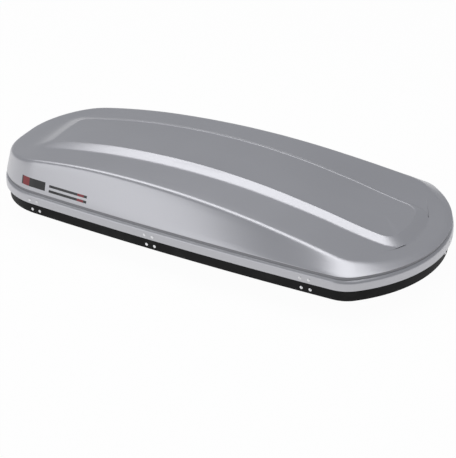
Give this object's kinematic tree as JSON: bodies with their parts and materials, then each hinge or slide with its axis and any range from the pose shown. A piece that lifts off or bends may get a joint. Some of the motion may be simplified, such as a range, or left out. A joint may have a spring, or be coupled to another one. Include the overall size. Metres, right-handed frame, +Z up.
{
  "type": "roof cargo box",
  "caption": "Low roof cargo box: silver lid with a raised centre panel, hinged along one long side, on a black tray clamped to roof bars.",
  "frame": {"origin": "below the middle of the box, on the plane the tray stands on", "axes": "+X to the nose, +Z up, -Y the hinge side"},
  "size_m": [1.752, 0.8404, 0.3371],
  "materials": {
    "lid_abs": "silver-grey ABS with a soft satin gloss",
    "tray_abs": "black grained ABS",
    "plated_steel": "zinc-plated sheet steel",
    "rivet_aluminium": "aluminium blind rivets",
    "strut_black": "black enamelled tube",
    "rod_chrome": "hard chrome",
    "lock_black": "black moulded nylon",
    "lock_metal": "nickel-plated zinc",
    "badge_print": "printed trim film"
  },
  "bodies": {
    "tray": {"base_shell": "tray_abs", "rear_load_plate": "plated_steel", "front_load_plate": "plated_steel", "load_plate_rivets": "rivet_aluminium", "tray_hinge_rivets": "rivet_aluminium", "striker_rivets": "rivet_aluminium", "tray_locator_rivets": "rivet_aluminium", "nose_tray_fork": "lock_black", "tail_tray_fork": "lock_black", "rear_hinge_tray_leaf": "plated_steel", "middle_hinge_tray_leaf": "plated_steel", "front_hinge_tray_leaf": "plated_steel", "rear_hinge_pin": "plated_steel", "middle_hinge_pin": "plated_steel", "front_hinge_pin": "plated_steel", "rear_striker": "plated_steel", "middle_striker": "plated_steel", "front_striker": "plated_steel"},
    "lid": {"lid_shell": "lid_abs", "lid_hinge_rivets": "rivet_aluminium", "guide_rivets": "rivet_aluminium", "lid_locator_rivets": "rivet_aluminium", "nose_lid_tongue": "lock_black", "tail_lid_tongue": "lock_black", "lock_housing": "lock_black", "side_badge": "badge_print", "side_stripes": "badge_print", "rear_hinge_lid_leaf": "plated_steel", "middle_hinge_lid_leaf": "plated_steel", "front_hinge_lid_leaf": "plated_steel", "rear_bar_guide": "lock_black", "middle_bar_guide": "lock_black", "front_bar_guide": "lock_black"},
    "lock_barrel": {"lock_cylinder": "lock_metal", "key": "lock_metal"},
    "bar": {"lock_bar": "plated_steel", "rear_lock_hook": "plated_steel", "middle_lock_hook": "plated_steel", "front_lock_hook": "plated_steel"},
    "rear_cylinder": {"rear_strut_cylinder": "strut_black"},
    "rear_rod": {"rear_strut_rod": "rod_chrome"},
    "front_cylinder": {"front_strut_cylinder": "strut_black"},
    "front_rod": {"front_strut_rod": "rod_chrome"}
  },
  "joints": [
    {"name": "lid_swing", "type": "hinge", "parent": "tray", "child": "lid", "pos_m": [-0.118, -0.334, 0.108], "axis": [0.996, -0.0897, 0], "range_deg": [0, 40]},
    {"name": "lock_turn", "type": "hinge", "parent": "lid", "child": "lock_barrel", "pos_m": [-0.02, 0.34519, 0.133], "axis": [-0.0895, 0.996, 0], "range_deg": [0, 90]},
    {"name": "bar_slide", "type": "slide", "parent": "lid", "child": "bar", "axis": [0.996, 0.0895, 0], "range_m": [0, 0.02]},
    {"name": "rear_cylinder_tilt", "type": "hinge", "parent": "tray", "child": "rear_cylinder", "pos_m": [-0.60514, -0.16766, 0.038], "axis": [0.996, -0.0897, 0], "range_deg": [0, 20.1]},
    {"name": "rear_rod_slide", "type": "slide", "parent": "rear_cylinder", "child": "rear_rod", "axis": [0, 0, 1], "range_m": [0, 0.0775]},
    {"name": "front_cylinder_tilt", "type": "hinge", "parent": "tray", "child": "front_cylinder", "pos_m": [0.50202, -0.26732, 0.038], "axis": [0.996, -0.0897, 0], "range_deg": [0, 20.1]},
    {"name": "front_rod_slide", "type": "slide", "parent": "front_cylinder", "child": "front_rod", "axis": [0, 0, 1], "range_m": [0, 0.0775]}
  ],
  "couplings": [
    {"joint": "lock_turn", "follows": "bar_slide", "rad_per_m": 78.54},
    {"joint": "rear_cylinder_tilt", "follows": "lid_swing", "ratio": 0.5},
    {"joint": "rear_rod_slide", "follows": "lid_swing", "m_per_rad": 0.1102},
    {"joint": "front_cylinder_tilt", "follows": "lid_swing", "ratio": 0.5},
    {"joint": "front_rod_slide", "follows": "lid_swing", "m_per_rad": 0.1102}
  ]
}
